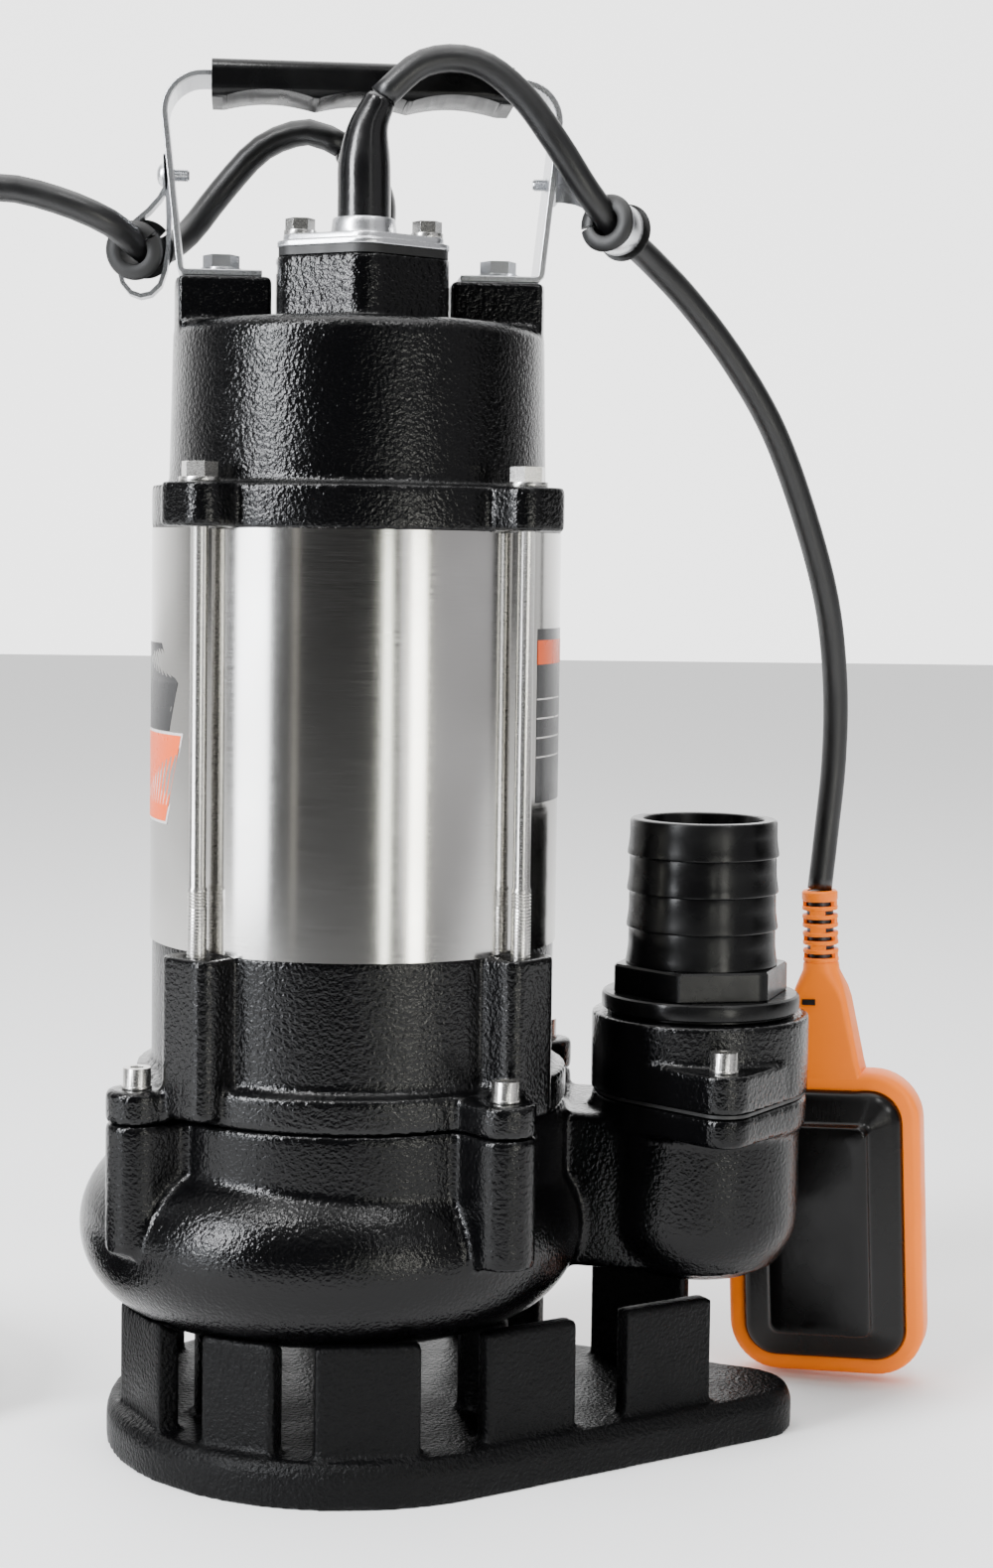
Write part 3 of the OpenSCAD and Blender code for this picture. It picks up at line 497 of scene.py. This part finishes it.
def soften(name, node, material, voxel, rounds, slot):
    """A copy of a CAD node with the soft edges of a casting or moulding, kept inside the node's box."""
    low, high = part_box(node)
    mesh = NODES[node].data.copy()
    work = bmesh.new()
    work.from_mesh(mesh)
    bmesh.ops.remove_doubles(work, verts=work.verts, dist=1e-6)
    work.to_mesh(mesh)
    work.free()
    piece = link_object(name, mesh, material, slot=slot, replaced=(node,))
    remesh = piece.modifiers.new("even", "REMESH")
    remesh.mode = "VOXEL"
    remesh.voxel_size = voxel
    relax = piece.modifiers.new("soft", "SMOOTH")
    relax.factor = 0.5
    relax.iterations = rounds
    baked = bpy.data.meshes.new_from_object(piece.evaluated_get(bpy.context.evaluated_depsgraph_get()))
    piece.modifiers.clear()
    piece.data = baked
    for vertex in baked.vertices:
        vertex.co = [min(max(x, a), b) for x, a, b in zip(vertex.co, low, high)]
    baked.polygons.foreach_set("use_smooth", [True] * len(baked.polygons))
    baked.materials.clear()
    baked.materials.append(material)
    return piece


def dress(node, material, bevel=0.0):
    """Gives a CAD node its material and, if asked, narrow rounded edges."""
    piece = NODES[node]
    piece.data.materials.clear()
    piece.data.materials.append(material)
    if bevel:
        weld = piece.modifiers.new("weld", "WELD")
        weld.merge_threshold = 1e-6
        edge = piece.modifiers.new("edge", "BEVEL")
        edge.width = bevel
        edge.segments = 2
        edge.limit_method = "ANGLE"
        edge.angle_limit = math.radians(35)
        edge.harden_normals = True
    return piece


# ---- cords ----

CORD_D = 8.6 * MM
FLOAT_ROUTE = metres([
    (5, -24, 424), (18, -23, 435), (34, -22, 436), (48, -21, 427), (60, -20, 412), (70, -17, 398),
    (80, -10, 388), (92, 0, 380), (107, 8, 367), (123, 15, 349), (138, 22, 327), (151, 31, 299),
    (161, 39, 270), (166, 46, 242), (167, 50, 216), (165.5, 52, 192), (163.5, 52, 171)])
POWER_ROUTE = metres([
    (-4, 26, 416), (-16, 28, 421), (-31, 31, 416), (-44, 32, 402), (-55, 26, 387), (-64, 13, 379),
    (-69, -4, 379), (-78, -16, 385), (-94, -20, 391), (-112, -21, 394), (-131, -21, 389),
    (-146, -21, 374), (-155, -20, 353), (-160, -19, 328), (-161, -18, 300), (-160, -17, 270),
    (-159, -16, 240), (-157, -15, 210), (-155, -14, 180), (-153, -14, 150), (-152, -14, 120),
    (-151, -13, 95), (-151, -9, 73), (-151, 3, 54), (-151, 20, 44)])
TAIL_ROUTE = metres([(-276.4, 26, 5), (-276.4, 13, 9), (-276.4, 0, 13)])
FLOAT_BOOT = metres([(0, -24, 382), (0, -24, 394), (0, -24, 405), (1.2, -24, 415), (5, -24, 424)])
POWER_BOOT = metres([(4, 24, 382), (4, 24, 390), (4, 24, 398), (1, 25, 408), (-4, 26, 416)])
COIL_AT = MM * Vector((-205, 40, 0))
COIL_MID_R = 54 * MM
COIL_STEP = CORD_D + 0.05 * MM
# The turns fill a 5 by 5 square in this order, as (column from the hole outwards, layer from the floor up)
COIL_CELLS = [
    (2, 4), (1, 4), (0, 4), (0, 3), (0, 2), (0, 1), (0, 0), (1, 0), (1, 1), (1, 2), (1, 3), (2, 3),
    (2, 2), (2, 1), (2, 0), (3, 0), (3, 1), (3, 2), (3, 3), (3, 4), (4, 4), (4, 3), (4, 2), (4, 1), (4, 0)]


def coil_moves():
    """When the cord moves from each cell to the next, as (start, end) in degrees wound so far.

    A move takes a shorter part of a turn in the outer columns, where a turn is longer.
    """
    moves = []
    end, last_step, last_span = 325, None, 0
    for (column, layer), (next_column, next_layer) in zip(COIL_CELLS, COIL_CELLS[1:]):
        step = (next_column - column, next_layer - layer)
        span = 150 if step[0] and column < 2 and moves else 100 - 10 * column
        if moves:
            end += 360 - (last_span if step != last_step else 0)
        moves.append((end - span, end))
        last_step, last_span = step, span
    return moves


def coil_path():
    moves = coil_moves()
    last = moves[-1][1]
    stop = 180 + 360 * math.ceil((last - 180) / 360)
    path = []
    move = 0
    for angle in range(0, stop + 1, 6):
        while move < len(moves) and angle >= moves[move][1]:
            move += 1
        column, layer = COIL_CELLS[move]
        if move < len(moves) and angle > moves[move][0]:
            start, end = moves[move]
            share = 0.5 - 0.5 * math.cos(math.pi * (angle - start) / (end - start))
            column += share * (COIL_CELLS[move + 1][0] - column)
            layer += share * (COIL_CELLS[move + 1][1] - layer)
        radius = COIL_MID_R + (column - 2) * COIL_STEP
        turn = math.radians(angle)
        path.append(COIL_AT + Vector((
            radius * math.cos(turn), radius * math.sin(turn), (layer + 0.5) * COIL_STEP)))
    return path


def cord_mesh(name, path, sides=12):
    verts, faces = loft(tube_rings(path, [CORD_D / 2] * len(path), sides))
    return mesh_from(name, verts, faces)


def make_cords(materials):
    power_path = smooth_path([*POWER_ROUTE, *coil_path(), *TAIL_ROUTE], 6 * MM)
    power = link_object(
        "power_lead", cord_mesh("power_lead", power_path), materials["cord"], slot="cord_rubber",
        replaced=("power_cord", "power_coil", "power_cord_tail"))
    plug = soften("plug_body", "power_plug", materials["plastic"], 0.9 * MM, 5, "dark_plastic")
    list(coil_ties(materials))

    float_path = smooth_path(FLOAT_ROUTE, 4 * MM)
    cable = link_object(
        "float_lead", cord_mesh("float_lead", float_path, 14), materials["cord"], body=None,
        slot="cord_rubber", replaced=("float_cable",))
    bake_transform(cable)


# A boot's radius over its straight stem, near its tip, and at the tip, and the stem's share of its length
BOOT_R = 8.2 * MM
BOOT_TIP_R = 4.9 * MM
BOOT_LIP_R = 4.45 * MM
BOOT_STEM = 0.42


def make_boots(materials):
    """Rubber sleeves where the cords leave the cover: a straight stem that tapers onto the cord."""
    for name, path, node in (("float_boot", FLOAT_BOOT, "float_cable_boot"),
                             ("power_boot", POWER_BOOT, "power_cord_boot")):
        line = smooth_path(path, 1.5 * MM)
        radii = []
        for i in range(len(line)):
            share = i / (len(line) - 1)
            taper = max((share - BOOT_STEM) / (1 - BOOT_STEM), 0)
            radii.append(BOOT_R - (BOOT_R - BOOT_TIP_R) * taper * taper * (3 - 2 * taper))
        radii[-1] = BOOT_LIP_R
        verts, faces = loft(tube_rings(line, radii, 32))
        link_object(name, mesh_from(name, verts, faces), materials["boot"], slot="cord_rubber",
                    replaced=(node,))


def coil_ties(materials):
    """Two straps round the turns of the put-away coil."""
    ties = []
    half = 2.5 * COIL_STEP
    for number, angle in enumerate((75, 285)):
        way = Vector((math.cos(math.radians(angle)), math.sin(math.radians(angle)), 0))
        centre = COIL_AT + COIL_MID_R * way + Vector((0, 0, half))
        across = Vector((-way.y, way.x, 0))
        rings = []
        for side in (-4.5, 4.5):
            for grow in (0.9, 0.1) if side < 0 else (0.1, 0.9):
                rings.append([
                    centre + across * side * MM + way * u + Vector((0, 0, max(v, -half + 0.1 * MM)))
                    for u, v in round_rect(half + grow * MM, half + grow * MM, 4.5 * MM)])
        verts, faces = loft([rings[0], rings[1], rings[2], rings[3]], closed_path=True)
        name = f"coil_tie_{number}"
        ties.append(link_object(name, mesh_from(name, verts, faces), materials["seal"], slot="seal_rubber"))
    return ties


def round_rect(half_w, half_h, radius, steps=8):
    """Points round a rectangle with round corners."""
    points = []
    for corner, (sx, sy) in enumerate(((1, 1), (-1, 1), (-1, -1), (1, -1))):
        for k in range(steps + 1):
            a = math.radians(90 * (corner + k / steps))
            points.append((
                sx * (half_w - radius) + radius * math.cos(a), sy * (half_h - radius) + radius * math.sin(a)))
    return points


# ---- castings ----


def make_castings(materials):
    cover, scroll, foot = (materials[k] for k in ("cover_paint", "scroll_paint", "foot_paint"))
    for name, node, paint, voxel, rounds, slot in (
            ("cover_casting", "top_cover", cover, 1.15, 5, "black_casting"),
            ("oil_casting", "oil_housing", cover, 1.2, 4, "black_casting"),
            ("scroll", "scroll_casing", scroll, 1.3, 6, "black_casting"),
            ("outlet_casting", "outlet_flange", cover, 0.9, 4, "black_casting"),
            ("foot", "strainer_foot", foot, 1.15, 4, "black_moulding")):
        soften(name, node, paint, voxel * MM, rounds, slot)


# ---- float ----

# Where the cable enters the float, and how the float hangs from it
HANG = (Matrix.Translation(MM * Vector((163.5, 52, 171))) @ Matrix.Rotation(math.radians(-2.5), 4, "Y")
        @ Matrix.Rotation(math.radians(-22), 4, "Z"))


def float_rim(inset, y):
    """The float's outline, drawn in by inset, in the plane y; millimetres below the cable's entry."""
    return [(u, y, v - 116) for u, v in round_rect(34 - inset, 53 - inset, max(17 - inset, 3.2), 10)]


def make_float(materials):
    orange, black = materials["float_orange"], materials["float_black"]
    band = [(6.05, -7.0), (5.6, -7.5), (2.6, -7.5), (1.3, -7.15), (0.4, -6.2), (0, -4.8), (0, 4.8),
            (0.4, 6.2), (1.3, 7.15), (2.6, 7.5), (5.6, 7.5), (6.05, 7.0)]
    frame_part = loft(moved([float_rim(*p) for p in band], HANG), closed_path=True)
    neck = [(-24.6, 5.4, 5.4, 5.3), (-25.6, 6.1, 6.1, 5.9), (-28, 6.3, 6.2, 5.6), (-34, 8.6, 7.3, 3.4),
            (-38, 9.6, 7.5, 2.4), (-60, 13.4, 7.4, 2.0), (-66, 14.8, 7.4, 2.0), (-69, 15.0, 7.4, 2.0)]
    neck_part = loft(moved(
        [[(u, v, z) for u, v in round_rect(w, d, r)] for z, w, d, r in neck], HANG))
    parts = [frame_part, neck_part]
    collar = [(4.35, -0.3), (5.6, -0.3), (6.2, -0.9), (6.2, -3.4), (5.8, -4.0), (4.35, -4.0), (4.35, -0.3)]
    parts.append(lathe_mesh(collar, HANG, 40))
    ring = [(4.4, 0), (5.9, 0), (6.15, -0.25), (6.15, -1.2), (5.9, -1.45), (4.4, -1.45), (4.4, 0)]
    for k in range(7):
        top = -5.6 - 3.0 * k
        parts.append(lathe_mesh([(radius, top + z) for radius, z in ring], HANG, 40))
    for k in range(8):
        top = -3.8 - 3.0 * k
        for side in (0, 180):
            turn = Matrix.Rotation(math.radians(side + 90 * (k % 2)), 4, "Z")
            bridge = [[(4.3, -2.6, z), (5.5, -2.6, z), (6.0, 0, z), (5.5, 2.6, z), (4.3, 2.6, z)]
                      for z in (top, top - 2.2)]
            parts.append(loft(moved(bridge, HANG @ turn)))
    joined("float_case", parts, orange, body="float", slot="float_orange", replaced=("float_frame",))
    core = lathe_mesh([(4.6, -0.6), (4.6, -27)], HANG, 32)
    slit = [[(-5.5, -7.9, z), (-1.0, -7.9, z), (-1.0, -6, z), (-5.5, -6, z)] for z in (-37.4, -39.4)]
    inner = [core, loft(moved(slit, HANG))]
    joined("float_relief_core", inner, materials["cord"], body="float", slot="cord_rubber")
    dome = [(6.1, 0.1), (6.1, 8.3), (6.4, 9.3), (7.3, 10.3), (9.0, 11.4), (15.2, 15.0), (16.0, 15.7),
            (16.4, 16.6), (16.6, 18.0), (17.0, 18.7), (17.8, 19.0), (22, 19.0)]
    rib_line = [(11.1, -72.0), (12.6, -74.6), (15.0, -78.6)]
    for name, sign in (("front", -1), ("back", 1)):
        parts = [loft(moved([float_rim(inset, sign * y) for inset, y in dome], HANG))]
        for k in range(-5, 6):
            x = 1.55 * k
            parts.append(loft(moved(
                [[(x - 0.42, sign * (y - 0.4), z - 0.2), (x, sign * (y + 0.35), z + 0.3),
                  (x + 0.42, sign * (y - 0.4), z - 0.2)] for y, z in rib_line], HANG)))
        joined(f"float_{name}", parts, black, body="float", slot="float_black",
               replaced=(f"float_{name}_shell",))


# ---- outlet ----

OUTLET = MM * Vector((113.5, 0, 0))


def make_hose_tail(materials):
    place = Matrix.Translation(OUTLET)
    outline = [
        (19.5, 120), (23.7, 120), (24, 120.4), (24, 137.5), (30.1, 137.5), (30.5, 137.9), (30.5, 138.6),
        (31.6, 138.6), (32.1, 139.0), (32.2, 139.6), (32.2, 142.6), (31.9, 143.5), (31.2, 144), (24.2, 144)]
    nut_top, spigot_top, barbs = 153.3, 200.4, 4
    step = (spigot_top - nut_top) / barbs
    barb = [(24.45, 0), (24.6, 0.25), (24.6, 1.0), (24.35, 2.4), (24.0, 5.2), (23.9, 7)]
    for k in range(barbs):
        z = nut_top + k * step
        outline += [(radius, z + up) for radius, up in barb]
        if k < barbs - 1:
            outline += [(23.88, z + step - 1.2), (23.5, z + step - 0.05)]
    outline += [(23.9, 199.3), (23.6, 200.1), (23.1, 200.4), (20.3, 200.4), (19.7, 200.1), (19.5, 199.5),
                (19.5, 120)]
    count = 96
    rings = []
    bore = 20
    nut_outline = (
        (bore, 143.8), (29.0, 143.8), (29.5, 144.3), (29.5, 152.6), (28.8, nut_top), (bore, nut_top))
    for radius, z in nut_outline:
        ring = []
        for k in range(count):
            turn = 2 * math.pi * k / count
            lean = (math.degrees(turn) - 6) % 60 - 30
            hexagon = radius * math.cos(math.radians(30)) / math.cos(math.radians(lean))
            reach = hexagon if radius > bore else bore
            ring.append((reach * math.cos(turn), reach * math.sin(turn), z))
        rings.append(ring)
    nut = loft(moved(rings, place), closed_path=True)
    joined("hose_spigot", [lathe_mesh(outline, place, 96), nut], materials["hose_tail"], 24,
           slot="hose_tail_plastic", replaced=("hose_tail",))


# ---- cord clips ----

BUSH_PROFILE = [(4.4, -7.4), (5.2, -7.9), (6.8, -7.8), (8.3, -7.3), (9.0, -6.5), (9.2, -6.1), (9.0, -5.7),
                (7.2, -5.6), (7.2, 5.6), (9.0, 5.7), (9.2, 6.1), (9.0, 6.5), (8.3, 7.3), (6.8, 7.8),
                (5.2, 7.9), (4.4, 7.4)]
# Middle of each bush, the way it points, and the angle of its split
BUSHES = (((-69.2, -1, 378.5), (0.24, 0.96, 0.14), 38), ((80, -10, 388), (0.58, 0.80, -0.14), 188))


def clip_screw(side, x, z):
    place = frame_at(MM * Vector((side * x, 0, z)), (side, 0, 0))
    outline = [(0.05, 2.3), (1.4, 2.2), (2.7, 1.7), (3.5, 0.9), (3.7, 0.2), (3.6, 0), (2, 0), (2, -3.2)]
    for k in range(8):
        outline += [(2.0, -3.3 - 0.55 * k), (1.65, -3.55 - 0.55 * k)]
    return lathe_mesh([*outline, (1.4, -7.9), (0.05, -7.9)], place, 28)


def make_clips(materials):
    zinc = materials["zinc"]
    level = Matrix.Identity(4)
    left = [
        (-61.3, 408), (-61.1, 402), (-61.4, 397.5), (-63.0, 394.5), (-66.5, 390.5), (-70.5, 387),
        (-74.0, 383.4), (-75.6, 379), (-75.7, 373), (-74.4, 368), (-71.8, 365), (-68.8, 364),
        (-65.6, 364.8), (-62.8, 367.6), (-61.3, 372), (-60.3, 379), (-60.2, 388), (-60.5, 396),
        (-60.9, 402), (-61.2, 407.6)]
    parts = [strap_mesh(left, 1.4, 9, level), clip_screw(-1, 61.8, 402)]
    joined("clip_left", parts, zinc, slot="zinc_plated_steel", replaced=("cord_clips",))

    at, way, _ = BUSHES[1]
    round_bush = frame_at(MM * Vector(at), way)
    band = [(7.25, -3.4), (8.0, -3.4), (8.2, -3.1), (8.2, 3.1), (8.0, 3.4), (7.25, 3.4), (7.25, -3.4)]
    plate = [((61.6, -5.5, 396), (61.9, -5.5, 408)), ((63.0, -6.5, 395.9), (63.4, -6.5, 407.5)),
             ((67.0, -7.6, 395.2), (67.6, -7.4, 404.5)), ((72.0, -8.4, 393.2), (73.4, -7.8, 399.0)),
             ((76.0, -8.9, 391.6), (78.4, -7.8, 395.6))]
    rings = [[low, high, Vector(high) + Vector((0.3, 0.85, 0)), Vector(low) + Vector((0.3, 0.85, 0))]
             for low, high in plate]
    tab = [[(61.2, y, 396), (62.1, y, 396), (62.5, y, 408), (61.6, y, 408)] for y in (-5.5, 5.5)]
    parts = [lathe_mesh(band, round_bush, 48), loft(moved(rings, level)), loft(moved(tab, level)),
             clip_screw(1, 62.3, 402)]
    joined("clip_right", parts, zinc, slot="zinc_plated_steel")

    for name, (at, way, split) in zip(("left", "right"), BUSHES):
        place = frame_at(MM * Vector(at), way, (1, 0, 0))
        rings = []
        for k in range(61):
            turn = math.radians(-split + 4 + 352 * k / 60)
            rings.append([(r * math.cos(turn), r * math.sin(turn), z) for r, z in BUSH_PROFILE])
        joined(f"bush_{name}", [loft(moved(rings, place))], materials["bush"], slot="cord_rubber",
               replaced=("cord_bushes",) if name == "left" else ())


# ---- barrel ----

BOLT_ANGLES = (45, 135, 225, 315)
BOLT_CIRCLE_R = 69.5
BARREL_R = 65


def make_threads(materials):
    """The rolled thread at the foot of each tie bolt."""
    parts = []
    for angle in BOLT_ANGLES:
        turn = math.radians(angle)
        place = Matrix.Translation(MM * BOLT_CIRCLE_R * Vector((math.cos(turn), math.sin(turn), 0)))
        outline = [(2.4, 161.5)]
        for k in range(21):
            outline += [(2.62, 161.7 + k), (3.12, 162.1 + k), (3.12, 162.3 + k)]
        parts.append(lathe_mesh([*outline, (2.9, 183.2), (2.4, 183.3)], place, 24))
    joined("tie_bolt_threads", parts, materials["stainless"], 20, slot="stainless_steel")


def label_patch(corners, lift):
    """A film on the barrel. Corners are (degrees from +X, height) pairs: two along the low edge, then
    two back along the high edge."""
    a, b, c, d = (Vector(p) for p in corners)
    rings = []
    for k in range(25):
        low, high = a.lerp(b, k / 24), d.lerp(c, k / 24)
        ring = []
        outer, inner = BARREL_R + lift, BARREL_R - 0.1
        for (turn, z), radius in ((low, outer), (high, outer), (high, inner), (low, inner)):
            turn = math.radians(turn)
            ring.append(MM * Vector((radius * math.cos(turn), radius * math.sin(turn), z)))
        rings.append(ring)
    return loft(rings)


def make_labels(materials):
    """Two plain films: blocks of colour and nothing printed on them."""
    black = [label_patch([(-33, 208), (22, 208), (22, 262), (-33, 262)], 0.12),
             label_patch([(150, 229), (206, 229), (211, 244), (150, 244)], 0.12),
             label_patch([(150, 244), (211, 244), (200, 256), (150, 256)], 0.12)]
    joined("label_black", black, materials["label_black"], slot="label_film", replaced=("barrel_labels",))
    orange = [label_patch([(-33, 251), (22, 251), (22, 258.5), (-33, 258.5)], 0.2),
              label_patch([(150, 201), (204, 201), (213, 228), (150, 228)], 0.2)]
    joined("label_orange", orange, materials["label_orange"], slot="label_film")
    pale = [label_patch([(150, 200.2), (204.8, 200.2), (214, 228.8), (150, 228.8)], 0.15)]
    for low in (222, 228, 234, 240):
        high = low + 0.5
        pale.append(label_patch([(-33, low), (-12, low), (-12, high), (-33, high)], 0.18))
    joined("label_pale", pale, materials["label_pale"], slot="label_film")


# ---- what stays as the CAD made it ----

DRESSED = {
    "stainless": ("casing_screws", "tie_bolts", "gland_screws", "outlet_screws", "impeller_nut",
                  "shaft_seal_spring"),
    "zinc": ("foot_screws", "oil_plug", "gland_plates", "handle_strap", "handle_screws",
             "shaft_seal_collar"),
    "bearing": ("lower_bearing_outer", "lower_bearing_inner", "lower_bearing_balls", "impeller_key",
                "upper_bearing_outer", "upper_bearing_inner", "upper_bearing_balls", "rotor_shaft",
                "float_ball"),
    "iron": ("impeller", "upper_bearing_plate"),
    "laminations": ("rotor_core", "stator_core"),
    "aluminium": ("rotor_cage_rings",),
    "copper": ("stator_windings",),
    "seal": ("casing_seal_ring", "lip_seal", "lower_barrel_seal", "upper_barrel_seal", "gland_gaskets",
             "outlet_gasket"),
    "ceramic": ("shaft_seal_seat",),
    "carbon": ("shaft_seal_face",),
    "plastic": ("thermal_protector", "float_switch", "handle_grip"),
    "capacitor": ("run_capacitor",),
    "terminal": ("terminal_block",),
    "barrel": ("motor_barrel",),
}
BEVELS = {
    "casing_screws": 0.4, "tie_bolts": 0.4, "gland_screws": 0.35, "outlet_screws": 0.4, "foot_screws": 0.4,
    "handle_grip": 0.9, "gland_plates": 0.5, "handle_strap": 0.4, "handle_screws": 0.4, "impeller": 0.5,
    "terminal_block": 0.5,
}


def make_dressed(materials):
    for look, nodes in DRESSED.items():
        for node in nodes:
            dress(node, materials[look], BEVELS.get(node, 0) * MM)


def main():
    make_camera()
    make_world()
    make_lights()
    make_floor()
    materials = make_materials()
    make_cords(materials)
    make_boots(materials)
    make_castings(materials)
    make_float(materials)
    make_hose_tail(materials)
    make_clips(materials)
    make_threads(materials)
    make_labels(materials)
    make_dressed(materials)


main()
